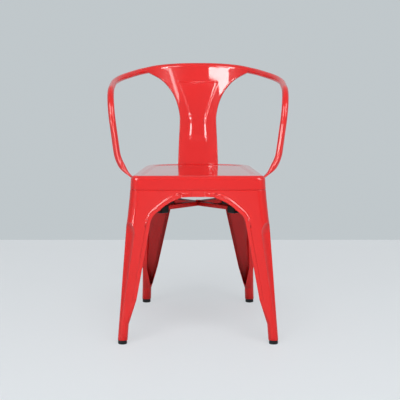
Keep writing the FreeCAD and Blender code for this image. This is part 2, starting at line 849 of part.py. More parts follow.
def splat_collar():
    # top edge of the splat, wrapped over the tube
    path = back_path()
    plane_up = (path[0] - path[1]).cross(path[2] - path[1]).normalize()
    low = tube_radius + weld_gap
    high = tube_standoff() + collar_bulge
    half = (collar_start + collar_end) / 2

    def face_at(place, direction):
        forward = direction.cross(plane_up)

        def rim(radius, degrees):
            angle = math.radians(degrees)
            return place + forward * (radius * math.cos(angle)) + plane_up * (radius * math.sin(angle))
        return Part.Face(Part.Wire([
            Part.Arc(rim(low, collar_start), rim(low, half), rim(low, collar_end)).toShape(),
            Part.LineSegment(rim(low, collar_end), rim(high, collar_end)).toShape(),
            Part.Arc(rim(high, collar_end), rim(high, half), rim(high, collar_start)).toShape(),
            Part.LineSegment(rim(high, collar_start), rim(low, collar_start)).toShape()]))
    return sweep(path, [back_bend_radius] * 2, face_at)


def make_splat():
    profile = stand_splat(prism(*splat_outline(0)))
    edge_zone = profile.cut(stand_splat(prism(*splat_outline(splat_sheet))))
    pocket = relief_cutter(0)
    pocket_skin = relief_cutter(splat_sheet)
    plate = splat_slab(0, splat_sheet).common(profile).cut(pocket)
    floor = splat_slab(relief_depth, relief_depth + splat_sheet).common(pocket_skin)
    wall = splat_slab(0, relief_depth + splat_sheet).common(pocket_skin.cut(pocket))
    lips = splat_slab(0, splat_lip).common(edge_zone)
    tube_room = sweep(back_path(), [back_bend_radius] * 2, ring_face(tube_radius + weld_gap, 0))
    sheet_part = union([plate, floor, wall, lips]).cut(above_tube()).cut(tube_room)
    collar = splat_collar().common(profile)
    return main_solid(union([sheet_part, collar, splat_tab()]))


def splat_tab():
    # the splat's foot, bent upright behind the skirt
    half = splat_foot_half
    low = -splat_tab_length
    rounded = prism([(-half, low), (half, low), (half, splat_sheet), (-half, splat_sheet)],
                    [splat_foot_corner, splat_foot_corner, 0, 0])
    tab = splat_layer(0, splat_sheet).extrude(Vector(0, 0, low)).common(rounded)
    base, backward, upward = splat_frame()
    tab.translate(base)
    return tab


def above_tube():
    # where the collar takes over from the flat sheet
    rear = tube_corners()[0]
    slope = math.atan(tube_slope)
    block = Part.makeBox(beyond, beyond, beyond, Vector(-beyond / 2, -beyond / 2, 0))
    block.rotate(Vector(0, 0, 0), Vector(1, 0, 0), math.degrees(slope))
    block.translate(Vector(0, rear.y, rear.z + tube_standoff() * math.sin(lean + slope)))
    return block


# Braces

def brace_ends(front_leg, rear_leg):
    front = front_leg.corner(brace_drop)
    rear = rear_leg.corner(brace_drop)
    return Vector(front.x, front.y, 0), Vector(-rear.x, rear.y, 0)


def along_brace(shape, front, rear):
    # from a bar drawn along X to the diagonal under the seat
    run = rear - front
    placed = shape.copy()
    placed.rotate(Vector(0, 0, 0), Vector(0, 0, 1), math.degrees(math.atan2(run.y, run.x)))
    placed.translate(front)
    return placed


def bar(width, top_drop, bottom_drop, start, end):
    return Part.makeBox(end - start, width, bottom_drop - top_drop, Vector(start, -width / 2, -bottom_drop))


def make_braces(front_leg, rear_leg):
    front, rear = brace_ends(front_leg, rear_leg)
    length = (rear - front).Length
    foot = brace_drop + brace_depth

    def channel(top_drop):
        web = bar(brace_width, top_drop, foot, 0, length)
        room = bar(brace_width - 2 * sheet, top_drop + sheet, foot + over_cut, -over_cut, length + over_cut)
        return web.cut(room)
    lower = along_brace(channel(brace_drop), front, rear)
    upper_drop = brace_drop - sheet - weld_gap
    upper = mirrored(along_brace(channel(upper_drop), front, rear))
    envelope = bar(brace_width + 2 * weld_gap, brace_drop - weld_gap, foot + over_cut, -over_cut,
                   length + over_cut)
    upper = upper.cut(along_brace(envelope, front, rear))
    middle = crossing(front, rear)
    hole = Part.makeCylinder(rivet_diameter / 2 + weld_gap, brace_depth * 4,
                             Vector(middle.x, middle.y, -brace_drop - 2 * brace_depth))
    braces = []
    for brace in (lower, upper):
        for leg in (front_leg, rear_leg):
            outside = leg.surroundings()
            brace = brace.cut(outside).cut(mirrored(outside))
        braces.append(tip(main_solid(brace.cut(hole))))
    return braces


def crossing(front, rear):
    share = front.x / (front.x - rear.x)
    return front + (rear - front) * share


def make_rivet(front_leg, rear_leg):
    # one rivet through both braces where they cross
    middle = crossing(*brace_ends(front_leg, rear_leg))
    upper_face = -brace_drop + sheet + weld_gap
    lower_face = -brace_drop - sheet
    head = Part.makeCylinder(rivet_head_diameter / 2, rivet_head_height,
                             Vector(middle.x, middle.y, upper_face + weld_gap))
    rim = [e for e in head.Edges if e.BoundBox.ZMin > upper_face + rivet_head_height / 2]
    head = head.makeFillet(min(rivet_crown_radius, rivet_head_height - least_radius), rim)
    shank_top = upper_face + weld_gap
    shank_foot = lower_face - rivet_head_height
    shank = Part.makeCylinder(rivet_diameter / 2, shank_top - shank_foot,
                              Vector(middle.x, middle.y, shank_foot))
    upset = Part.makeCylinder(rivet_head_diameter / 2, rivet_head_height / 2,
                              Vector(middle.x, middle.y, lower_face - weld_gap - rivet_head_height / 2))
    return tip(union([head, shank, upset]))


def make_bumper(front_leg, rear_leg, offset, at_front, on_upper):
    # plastic saddle pushed up over a brace from below
    front, rear = brace_ends(front_leg, rear_leg)
    length = (rear - front).Length
    slope = abs(rear.x - front.x) / length
    if at_front:
        centre = (front.x - offset) / slope
    else:
        centre = (front.x + offset) / slope
    start = centre - bumper_length / 2
    end = centre + bumper_length / 2
    top = brace_drop - (sheet + weld_gap if on_upper else 0)
    foot = brace_drop + bumper_height
    width = brace_width + 2 * bumper_wall
    block = bar(width, top, foot, start, end)
    lower = [e for e in block.Edges if e.BoundBox.ZMax < -foot + 0.01]
    block = block.makeFillet(bumper_corner, lower)
    seat_of_brace = bar(brace_width + 2 * weld_gap, top - over_cut, brace_drop + brace_depth + weld_gap,
                        start - over_cut, end + over_cut)
    key = bar(brace_width - 2 * (sheet + weld_gap), top + sheet + weld_gap, foot - bumper_corner, start, end)
    saddle = along_brace(union([block.cut(seat_of_brace), key]), front, rear)
    return tip(main_solid(saddle))


def export(name, shape):
    path = os.path.join("parts", name + ".step")
    shape.exportStep(path)
    print(name, "valid", shape.isValid(), "solids", len(shape.Solids), "volume", round(shape.Volume))


def export_pair(name, left_shape):
    export(name + "_left", left_shape)
    export(name + "_right", mirrored(left_shape))


def main():
    front_leg = Leg(True)
    rear_leg = Leg(False)
    export("seat_pan", make_seat())
    export_pair("leg_front", front_leg.make())
    export_pair("leg_rear", rear_leg.make())
    export("rail_front", cross_rail(front_leg))
    export("rail_rear", cross_rail(rear_leg))
    export_pair("rail_side", side_rail(front_leg, rear_leg))
    export_pair("foot_cap_front", make_cap(front_leg))
    export_pair("foot_cap_rear", make_cap(rear_leg))
    export("arm_back_tube", make_tube())
    export("back_splat", make_splat())
    lower, upper = make_braces(front_leg, rear_leg)
    export("brace_lower", lower)
    export("brace_upper", upper)
    export("brace_rivet", make_rivet(front_leg, rear_leg))
    export("bumper_front_left", make_bumper(front_leg, rear_leg, bumper_front_offset, True, False))
    export("bumper_front_right", mirrored(make_bumper(front_leg, rear_leg, bumper_front_offset, True, True)))
    export("bumper_rear_right", make_bumper(front_leg, rear_leg, bumper_rear_offset, False, False))
    export("bumper_rear_left", mirrored(make_bumper(front_leg, rear_leg, bumper_rear_offset, False, True)))


main()
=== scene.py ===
# Dresses the stacking armchair: gloss red paint, black plastic, a dressed splat, raised borders, a studio
import bisect
import math
import bmesh
import bpy
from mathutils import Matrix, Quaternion, Vector
from mathutils.bvhtree import BVHTree


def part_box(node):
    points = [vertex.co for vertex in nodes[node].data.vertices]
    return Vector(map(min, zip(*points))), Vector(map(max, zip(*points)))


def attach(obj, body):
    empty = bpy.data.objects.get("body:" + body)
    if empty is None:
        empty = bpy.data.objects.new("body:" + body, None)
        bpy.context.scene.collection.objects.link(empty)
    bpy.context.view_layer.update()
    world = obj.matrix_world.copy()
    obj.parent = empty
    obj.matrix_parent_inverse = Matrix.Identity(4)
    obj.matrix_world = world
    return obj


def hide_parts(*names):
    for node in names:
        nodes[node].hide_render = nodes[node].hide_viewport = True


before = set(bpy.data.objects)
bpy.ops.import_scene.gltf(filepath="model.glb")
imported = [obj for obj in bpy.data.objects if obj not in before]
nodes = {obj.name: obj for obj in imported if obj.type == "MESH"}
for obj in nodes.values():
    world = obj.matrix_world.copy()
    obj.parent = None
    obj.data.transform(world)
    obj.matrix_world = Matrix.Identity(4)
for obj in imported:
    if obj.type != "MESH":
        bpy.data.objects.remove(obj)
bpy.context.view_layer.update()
print("frame loaded with", len(nodes), "nodes")


# Shader tools

class Socket:
    # wraps a node's output, so that sums on values add their own nodes
    def __init__(self, shader, output):
        self.shader = shader
        self.output = output

    def __add__(self, other):
        return self.shader.math("ADD", self, other)

    def __sub__(self, other):
        return self.shader.math("SUBTRACT", self, other)

    def __rsub__(self, other):
        return self.shader.math("SUBTRACT", other, self)

    def __mul__(self, other):
        return self.shader.math("MULTIPLY", self, other)

    def clamped(self):
        return self.shader.math("ADD", self, 0.0, clamp=True)

    __radd__ = __add__
    __rmul__ = __mul__


class Shader:
    # one material or world, with its node tree
    def __init__(self, owner):
        owner.use_nodes = True
        self.owner = owner
        self.tree = owner.node_tree
        self.tree.nodes.clear()

    def put(self, target, value):
        if isinstance(value, Socket):
            self.tree.links.new(value.output, target)
        elif target.type == "RGBA" and len(value) == 3:
            target.default_value = (*value, 1)
        else:
            target.default_value = value

    def node(self, kind, settings=None, sockets=None, output=0):
        made = self.tree.nodes.new("ShaderNode" + kind)
        for name, value in (settings or {}).items():
            setattr(made, name, value)
        for name, value in (sockets or {}).items():
            self.put(made.inputs[name], value)
        return Socket(self, made.outputs[output]) if len(made.outputs) else made

    def math(self, operation, first, second, clamp=False):
        return self.node("Math", {"operation": operation, "use_clamp": clamp}, {0: first, 1: second})

    def vector(self, operation, first, second, output=0):
        return self.node("VectorMath", {"operation": operation}, {0: first, 1: second}, output)

    def blend(self, share, first, second):
        # colours mixed by a share from 0 to 1
        return self.node("Mix", {"data_type": "RGBA"}, {0: share, 6: first, 7: second}, output=2)

    def noise(self, place, scale, detail):
        sockets = {"Vector": place, "Scale": scale, "Detail": detail, "Roughness": 0.5}
        return self.node("TexNoise", {}, sockets)

    def place(self, stretch=(1, 1, 1)):
        # metres on the object, stretched for grain that runs one way
        coordinates = self.node("TexCoord", output=3)
        return self.node("Mapping", {}, {"Vector": coordinates, "Scale": stretch})

    def ramp(self, value, limits):
        # 0 below the lower limit, 1 above the upper one
        low, high = limits
        return self.node("MapRange", {"clamp": True}, {"Value": value, "From Min": low, "From Max": high})

    def bump(self, height, distance, under):
        # small relief on top of the normal under it
        sockets = {"Height": height, "Distance": distance, "Strength": 1.0, "Normal": under}
        return self.node("Bump", {}, sockets)

    def hollow(self, reach, limits):
        # 1 in hollows and corners that are narrower than the reach, 0 in the open
        unblocked = self.node("AmbientOcclusion", {"samples": 6}, {"Distance": reach}, output=1)
        return self.ramp(1 - unblocked, limits)

    def edges(self, radius):
        # rounded normals for bent edges, and a mask that is 1 on the sharpest of them
        rounded = self.node("Bevel", {"samples": 6}, {"Radius": radius})
        flat = self.node("NewGeometry", output=1)
        along = self.vector("DOT_PRODUCT", rounded, flat, output=1)
        mildAndSharp = (0.004, 0.12)
        return rounded, self.ramp(1 - along, mildAndSharp)

    def finish(self, surface):
        self.node("OutputMaterial", {}, {"Surface": surface})
        return self.owner


# Paint

paintLook = {
    "colour": (0.755, 0.0085, 0.0072),
    "deepAndShadeColour": (0.65, 0.0068, 0.006),    # deeper red in random patches, and the painted shade in corners
    "edgeColour": (0.82, 0.024, 0.02),      # where it pulls thin over an edge
    "insideColour": (0.34, 0.004, 0.004),   # painted shade: dark red on hidden sides
    "inside": 0.0,                          # share of that painted shade
    "coat": 1.0,                            # weight of the clear gloss on top
    "coatRoughness": 0.04,
    "coatBend": 1.5,                        # how much the gloss bends light
    "gloss": 0.1,                           # of the colour under the clear gloss
    "roughness": 0.3,
    "cloudScale": 6.0,                      # patches of deeper colour, per metre
    "cloudRange": (0.35, 0.7),              # a range runs from none to all of the effect
    "cloudShare": 0.35,
    "cloudHaze": 0.05,                      # a haze is what the effect adds to the roughness
    "peelScale": 420.0,                     # orange peel, lumps per metre
    "peelHeight": 0.000035,
    "swellSize": 9,                         # a wide swell is this many lumps of peel across
    "speckScale": 1900.0,                   # dust nibs
    "speckRange": (0.74, 0.8),
    "speckHaze": 0.05,
    "relief": (0.7, 2.2, 0.6),              # of peel, swell and nibs, over the peel's height
    "edgeRadius": 0.0018,
    "edgeShare": 0.5,
    "cornerReach": 0.03,
    "cornerRange": (0.25, 0.9),
    "cornerHaze": 0.12,
    "hiddenReach": 0.16,
    "hiddenRange": (0.35, 0.75),
    "hiddenMatt": 0.9,                      # share of the clear gloss taken off where the painted shade is
    "rubAlong": (9, 160, 9),                # stretch of the rubbed streaks, each way over the seat
    "rubAcross": (150, 12, 9),
    "rubScale": 3.0,
    "alongRange": (0.6, 0.72),
    "acrossRange": (0.62, 0.74),
    "rubHaze": 0.12,
    "scuffs": 0.0,                          # share of rubbed haze on the top surfaces
    "dust": 0.25,                           # painted shade: how far the colour darkens in corners
}


def paintMaterial(name, **changes):
    look = {**paintLook, **changes}
    shader = Shader(bpy.data.materials.new(name))
    place = shader.place()
    rounded, edge = shader.edges(look["edgeRadius"])
    cloud = shader.noise(place, look["cloudScale"], detail=3.0)
    peel = shader.noise(place, look["peelScale"], detail=1.0)
    swell = shader.noise(place, look["peelScale"] / look["swellSize"], detail=1.0)
    speck = shader.ramp(shader.noise(place, look["speckScale"], detail=0.0), look["speckRange"])
    # painted shade in corners: occlusion over a short reach darkens the colour there and also hazes the
    # roughness
    corner = shader.hollow(look["cornerReach"], look["cornerRange"])
    # painted shade on hidden sides: occlusion over a wide reach darkens the colour and takes off part of the
    # gloss
    shadedInside = shader.hollow(look["hiddenReach"], look["hiddenRange"]) * look["inside"]
    # deeper in patches, paler over edges, with painted shade in corners and on the sides out of sight
    patches = shader.ramp(cloud, look["cloudRange"]) * look["cloudShare"]
    colour = shader.blend(patches, look["colour"], look["deepAndShadeColour"])
    # painted shade: the colour darkens where the corners are occluded
    colour = shader.blend(corner * look["dust"], colour, look["deepAndShadeColour"])
    colour = shader.blend(edge * look["edgeShare"], colour, look["edgeColour"])
    # painted shade: hidden sides darken toward the inside colour
    colour = shader.blend(shadedInside, colour, look["insideColour"])
    streaks = shader.noise(shader.place(look["rubAlong"]), look["rubScale"], detail=4.0)
    cross = shader.noise(shader.place(look["rubAcross"]), look["rubScale"], detail=4.0)
    rubbed = shader.ramp(streaks, look["alongRange"]) + shader.ramp(cross, look["acrossRange"])
    roughness = look["roughness"] + cloud * look["cloudHaze"] + rubbed * look["scuffs"] * look["rubHaze"]
    roughness = roughness + corner * look["cornerHaze"] + speck * look["speckHaze"]
    peelRelief, swellRelief, speckRelief = look["relief"]
    height = peel * peelRelief + swell * swellRelief - speck * speckRelief
    surface = shader.node("BsdfPrincipled", {}, {
        "Base Color": colour,
        "Roughness": roughness.clamped(),
        "Normal": shader.bump(height, look["peelHeight"], rounded),
        "Specular IOR Level": look["gloss"],
        "Coat Weight": (1 - shadedInside * look["hiddenMatt"]) * look["coat"],
        "Coat Roughness": look["coatRoughness"],
        "Coat IOR": look["coatBend"]})
    return shader.finish(surface)


def assign(material, names):
    for name in names:
        slots = nodes[name].data.materials
        slots.clear()
        slots.append(material)


legNames = ["leg_front_left", "leg_front_right", "leg_rear_left", "leg_rear_right"]
railNames = ["rail_front", "rail_rear", "rail_side_left", "rail_side_right"]
braceNames = ["brace_lower", "brace_upper"]
bumperNames = ["bumper_front_left", "bumper_front_right", "bumper_rear_left", "bumper_rear_right"]
capNames = ["foot_cap_front_left", "foot_cap_front_right", "foot_cap_rear_left", "foot_cap_rear_right"]

assign(paintMaterial("seatPaint", scuffs=0.35, roughness=0.15), ["seat_pan"])
# the legs get painted shade on their hidden insides
assign(paintMaterial("legPaint", peelScale=380.0, edgeRadius=0.003, inside=0.9, coat=0.65), legNames)
assign(paintMaterial("apronPaint", coat=0.65), railNames)
assign(paintMaterial("tubePaint", peelScale=520.0, scuffs=0.15), ["arm_back_tube"])
# the braces under the seat get strong painted shade in corners and on hidden sides
assign(paintMaterial("bracePaint", dust=0.5, roughness=0.45, inside=1.0, coat=0.3,
                     insideColour=(0.14, 0.006, 0.006)), braceNames)
assign(paintMaterial("rivetPaint", dust=0.6, roughness=0.3, peelScale=900.0), ["brace_rivet"])
print("paint assigned")


# Making of the pieces

def makePiece(name, points, faces, material, sharp=35, body="root"):
    mesh = bpy.data.meshes.new(name)
    mesh.from_pydata([tuple(point) for point in points], [], faces)
    mesh.validate()
    mesh.materials.append(material)
    mesh.shade_smooth()
    mesh.set_sharp_from_angle(angle=math.radians(sharp))
    piece = bpy.data.objects.new(name, mesh)
    bpy.context.scene.collection.objects.link(piece)
    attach(piece, body)
    return piece


def gridFaces(rows, columns):
    faces = []
    for row in range(rows - 1):
        start, above = row * columns, (row + 1) * columns
        for column in range(columns - 1):
            faces.append((start + column, start + column + 1, above + column + 1, above + column))
    return faces


def thicken(piece, thickness, offset):
    # gives a bare sheet its two sides and its rim
    modifier = piece.modifiers.new("sheet", "SOLIDIFY")
    modifier.thickness = thickness
    modifier.offset = offset
    depsgraph = bpy.context.evaluated_depsgraph_get()
    mesh = bpy.data.meshes.new_from_object(piece.evaluated_get(depsgraph))
    piece.modifiers.clear()
    piece.data = mesh


def smoothCurve(points):
    # a smooth line through pairs of drop and half width
    drops = [drop for drop, half in points]
    halves = [half for drop, half in points]
    count = len(points)

    def slope(i):
        low, high = max(i - 1, 0), min(i + 1, count - 1)
        return (halves[high] - halves[low]) / (drops[high] - drops[low])

    def at(drop):
        i = max(0, min(count - 2, bisect.bisect_right(drops, drop) - 1))
        step = drops[i + 1] - drops[i]
        share = (drop - drops[i]) / step
        rest = 1 - share
        level = (1 + 2 * share) * rest ** 2 * halves[i] + share * share * (3 - 2 * share) * halves[i + 1]
        return level + step * (share * rest ** 2 * slope(i) - share * share * rest * slope(i + 1))
    return at


def soft(share):
    # 0 to 1 without corners
    share = max(0.0, min(1.0, share))
    return share * share * (3 - 2 * share)


def chamfer(share, rounding=0.15):
    # 0 to 1 in a straight slope with rounded ends
    share = max(0.0, min(1.0, share))
    if share < rounding:
        height = share * share / (2 * rounding)
    elif share < 1 - rounding:
        height = share - rounding / 2
    else:
        height = 1 - rounding - (1 - share) ** 2 / (2 * rounding)
    return height / (1 - rounding)


# Back splat: one pressed sheet with turned edges, rolled over the tube and dressed smooth into it

splatLook = {
    "base": (0.0, 0.17135, 0.42375),        # the bend behind the seat's skirt
    "lean": 10.5,                           # degrees back from upright
    "rise": 0.28854,                        # from that bend up the lean to the tube
    "sheet": 0.0013,                        # a little under the solid's, to stay clear of the tube
    "tubeRadius": 0.009,
    "tubeCover": 0.00006,                   # what is left of the sheet over the tube where it ends
    "standoff": 0.01075,                    # from the sheet's face back to the tube's middle
    "tubeStraight": 0.012,                  # half the tube's straight run behind the sheet
    "tubeBend": 0.198,
    "tubeFall": 0.14,                       # slope of the tube's bend toward the front
    "fadeStart": 0.108,                     # where the roll starts to thin into the tube
    "fadeEnd": 0.149,
    # drop below the tube and half width, along the sheet's edge and along the relief's
    "outline": [(0.0, 0.196), (0.0274, 0.1315), (0.0428, 0.1032), (0.062, 0.0843), (0.085, 0.0692),
                (0.114, 0.0583), (0.143, 0.0526), (0.165, 0.0522), (0.215, 0.0544), (0.2886, 0.0574)],
    "relief": [(0.0, 0.070), (0.0469, 0.0585), (0.0642, 0.0524), (0.0757, 0.0475), (0.099, 0.0392),
               (0.122, 0.0318), (0.1426, 0.0268), (0.1645, 0.0243), (0.186, 0.0250), (0.221, 0.0291),
               (0.2886, 0.037)],
    "followTube": 0.06,                     # rows above this drop bend along with the tube
    "leastHalf": 0.04,                      # bounds of the half width, to search between
    "greatestHalf": 0.19,
    "reliefTop": 0.0445,                    # drops at which the relief starts and has died out
    "reliefFoot": 0.2225,
    "reliefSlope": 0.34,                    # depth of the pressed step over its width
    "rampTop": 0.0042,                      # width of the step, at the top and the foot
    "rampFoot": 0.0085,
    "rampFrom": 0.05,                       # where it starts to widen, and over which length
    "rampOver": 0.16,
    "footFade": 0.026,                      # over this length the step dies out at the foot
    "lip": 0.007,                           # depth of the turned edge
    "lipFrom": 0.004,                       # where the turned edge starts, and over which length
    "lipOver": 0.016,
    "lipFoot": 0.014,                       # over this length it ends above the bend
    "edgeRadius": 0.0022,
    "bluntLip": 0.0008,                     # where the edge isn't turned
    "bluntRadius": 0.0003,
    "tab": 0.022,                           # straight down behind the skirt
    "tabCorner": 0.009,
    "tabRows": [0.004, 0.008],
    "rollEnd": 150.0,                       # degrees round the tube
    "rollFlare": 0.012,                     # how much wider the roll gets toward its end
    "rollFlareRate": 1.6,
    # first drop, spacing and count of each run of rows
    "rows": [(0.0, 0.0025, 17), (0.0432, 0.0006, 12), (0.0525, 0.003, 48), (0.1965, 0.0022, 14),
             (0.2285, 0.004, 15)],
    "rampSteps": 8,
    "innerSteps": 8,
    "outerSteps": 12,
    "lipSteps": 6,
    "rollSteps": 20,
    "cornerSteps": 6,
    "searchSteps": 40,
    "settleSteps": 4,                       # tries until the relief's line and the row's drop agree
    "probe": 0.0008,                        # how far apart two rows are to feel the edge's slope
}


def tubeBehindSplat(x):
    # the tube's middle, the directions along it and square to its bend, and the sheet's way up
    look = splatLook
    fall = Vector((0, -look["tubeFall"], 1)).normalized()
    forward = Vector((0, -fall.z, fall.y))
    base, lean = Vector(look["base"]), math.radians(look["lean"])
    up = Vector((0, math.sin(lean), math.cos(lean)))
    back = Vector((0, math.cos(lean), -math.sin(lean)))
    middle = base + up * look["rise"] + back * look["standoff"]
    if x <= look["tubeStraight"]:
        return middle + Vector((x, 0, 0)), Vector((1, 0, 0)), fall, up
    turn = math.asin((x - look["tubeStraight"]) / (look["tubeBend"] - look["standoff"]))
    place = middle + Vector((look["tubeStraight"] + look["tubeBend"] * math.sin(turn), 0, 0))
    place += forward * (look["tubeBend"] * (1 - math.cos(turn)))
    return place, Vector((math.cos(turn), 0, 0)) + forward * math.sin(turn), fall, up


def rollRadius(x):
    look = splatLook
    thin = soft((x - look["fadeStart"]) / (look["fadeEnd"] - look["fadeStart"]))
    return look["standoff"] + (look["tubeRadius"] + look["tubeCover"] - look["standoff"]) * thin


def splatFace(x):
    # the highest point of the flat face at x, the way that it faces, and its drop below the tube
    place, along, _, up = tubeBehindSplat(x)
    facing = along.cross(up).normalized()
    if facing.y > 0:
        facing = -facing
    top = place + facing * rollRadius(x)
    start = Vector(splatLook["base"]) + up * splatLook["rise"]
    return top, facing, (start - top).dot(up)


outlineAt, reliefLineAt = smoothCurve(splatLook["outline"]), smoothCurve(splatLook["relief"])
splatUp = tubeBehindSplat(0)[3]


def splatDrop(x, level):
    # rows follow the tube at the top and run level lower down
    return level + splatFace(x)[2] * max(0.0, 1 - level / splatLook["followTube"]) ** 2


def splatEdge(level):
    # half the sheet's width in one row, found by halving
    low, high = splatLook["leastHalf"], splatLook["greatestHalf"]
    for step in range(splatLook["searchSteps"]):
        middle = (low + high) / 2
        if outlineAt(splatDrop(middle, level)) > middle:
            low = middle
        else:
            high = middle
    return low


def reliefEdge(level):
    half = reliefLineAt(level)
    for step in range(splatLook["settleSteps"]):
        half = reliefLineAt(splatDrop(half, level))
    return half


def facePoint(x, level, sink=0.0):
    top, facing, tubeDrop = splatFace(x)
    return top - splatUp * (splatDrop(x, level) - tubeDrop) - facing * sink


def pressedBack(x, level, half, ramp):
    # how far the sheet is pressed back, by the nearest side of the vase
    look = splatLook
    at = splatDrop(x, level)
    sides = min((half - x) / ramp, (at - look["reliefTop"]) / look["rampTop"])
    return look["reliefSlope"] * ramp * chamfer(sides) * soft((look["reliefFoot"] - at) / look["footFade"])


def rollPoint(x, share):
    # on the roll over the tube, at a share of its turn
    place, along, fall, _ = tubeBehindSplat(x)
    facing = splatFace(x)[1]
    across = along.cross(fall)
    if across.y > 0:
        across = -across
    start = math.atan2(facing.dot(fall), facing.dot(across))
    angle = start + (math.radians(splatLook["rollEnd"]) - start) * share
    return place + (across * math.cos(angle) + fall * math.sin(angle)) * rollRadius(x)


def rowSizes(kind, value):
    # half width, relief's half width, width of its step, depth and radius of the turned edge
    look = splatLook
    lip, rounding = look["bluntLip"], look["bluntRadius"]
    if kind == "roll":
        end = look["fadeEnd"] + look["rollFlare"] * soft(value * look["rollFlareRate"])
        return end, min(reliefEdge(0), end), look["rampTop"], lip, rounding
    if kind == "tab":
        corner = look["tabCorner"]
        over = max(0.0, value - (look["tab"] - corner))
        # the floor keeps the root real at the corner's very end
        end = splatEdge(look["rise"]) - corner + math.sqrt(max(corner ** 2 - over ** 2, 1e-10))
        return end, reliefEdge(look["rise"]), look["rampFoot"], lip, rounding
    widened = soft((value - look["rampFrom"]) / look["rampOver"])
    ramp = look["rampTop"] + (look["rampFoot"] - look["rampTop"]) * widened
    nearTube = soft((value - look["lipFrom"]) / look["lipOver"])
    nearFoot = soft((look["rise"] - value) / look["lipFoot"])
    lip += (look["lip"] - lip) * nearTube * nearFoot
    rounding += (look["edgeRadius"] - rounding) * nearTube * nearFoot
    return splatEdge(value), reliefEdge(value), ramp, lip, rounding


def halfRow(kind, value):
    # from the middle out to the turned edge
    look = splatLook
    end, half, ramp, lip, rounding = rowSizes(kind, value)
    inner, slope, outer = look["innerSteps"], look["rampSteps"], look["outerSteps"]
    stops = [(half - ramp) * i / inner for i in range(inner)]
    stops += [half - ramp + ramp * i / slope for i in range(slope)]
    stops += [half + (end - rounding - half) * i / outer for i in range(outer + 1)]
    if kind == "roll":
        points = [rollPoint(x, value) for x in stops]
    elif kind == "face":
        points = [facePoint(x, value, pressedBack(x, value, half, ramp)) for x in stops]
    else:
        points = [facePoint(x, look["rise"]) - Vector((0, 0, value)) for x in stops]
    # the turned edge, square to the outline
    edge, before = points[-1], points[-2]
    outward = (edge - before).normalized()
    if kind == "face":
        after = value + look["probe"]
        below = facePoint(splatEdge(after), after) - facePoint(splatEdge(value), value)
        facing = splatFace(end)[1]
        outward = below.cross(facing).normalized()
        if outward.x < 0:
            outward = -outward
        edge = facePoint(end, value) - outward * rounding
        points[-1] = edge
    elif kind == "roll":
        facing = (edge - tubeBehindSplat(stops[-1])[0]).normalized()
    else:
        facing = Vector((0, -1, 0))
    for i in range(1, look["lipSteps"]):
        angle = math.radians(90 * i / (look["lipSteps"] - 1))
        out, down = rounding * math.sin(angle), rounding * (1 - math.cos(angle))
        points.append(edge + outward * out - facing * down)
    points.append(points[-1] - facing * (lip - rounding))
    return points


def makeSplat(material):
    look = splatLook
    rows = [("roll", step / look["rollSteps"]) for step in range(look["rollSteps"], 0, -1)]
    for first, spacing, count in look["rows"]:
        rows += [("face", first + spacing * step) for step in range(count)]
    rows.append(("face", look["rise"]))
    tab, corner, turn = look["tab"], look["tabCorner"], 90 / look["cornerSteps"]
    rows += [("tab", drop) for drop in look["tabRows"] + [tab - corner]]
    # the tab's rounded corner, in even steps of its turn
    for step in range(1, look["cornerSteps"] + 1):
        rows.append(("tab", tab - corner * (1 - math.sin(math.radians(turn * step)))))
    points = []
    for kind, value in rows:
        right = halfRow(kind, value)
        left = [Vector((-point.x, point.y, point.z)) for point in reversed(right[1:])]
        points += left + right
    piece = makePiece("splatSheet", points, gridFaces(len(rows), len(points) // len(rows)), material)
    thicken(piece, look["sheet"], 1)
    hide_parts("back_splat")


makeSplat(paintMaterial("splatPaint", roughness=0.28))
print("splat pressed")


# Raised border of the arches, carried on from the legs into the aprons, where it fades out

borderLook = {
    "overlap": 0.0012,                      # onto the leg's own border
    "run": 0.026,                           # along the apron until it is flush
    "steps": 13,
    "height": 0.0225,                       # of all the rows, up the apron
    "rows": 46,
    "fewestRows": 4,                        # with fewer that lie on both faces, no border is made
    "lowest": 0.0002,                       # the first row, above the apron's lower edge
    "rim": 0.0003,                          # how far the rim hangs below that row
    "proud": 0.00007,
    "proudFall": 1.5,                       # over the run it falls by this share of itself, into the apron
    "legProbe": 0.0016,                     # past the seam, where the leg's own border is felt
    "apronProbe": 0.0012,                   # short of the seam, the nearest place where the apron is felt
    "probeStart": 0.4,                      # well outside of the chair
    "fold": 0.0009,                         # turned back under the apron's lower edge
    "skin": 0.0002,
}


def meshTree(names):
    points, faces = [], []
    for name in names:
        mesh = nodes[name].data
        start = len(points)
        points += [vertex.co.copy() for vertex in mesh.vertices]
        faces += [tuple(start + corner for corner in face.vertices) for face in mesh.polygons]
    return BVHTree.FromPolygons(points, faces)


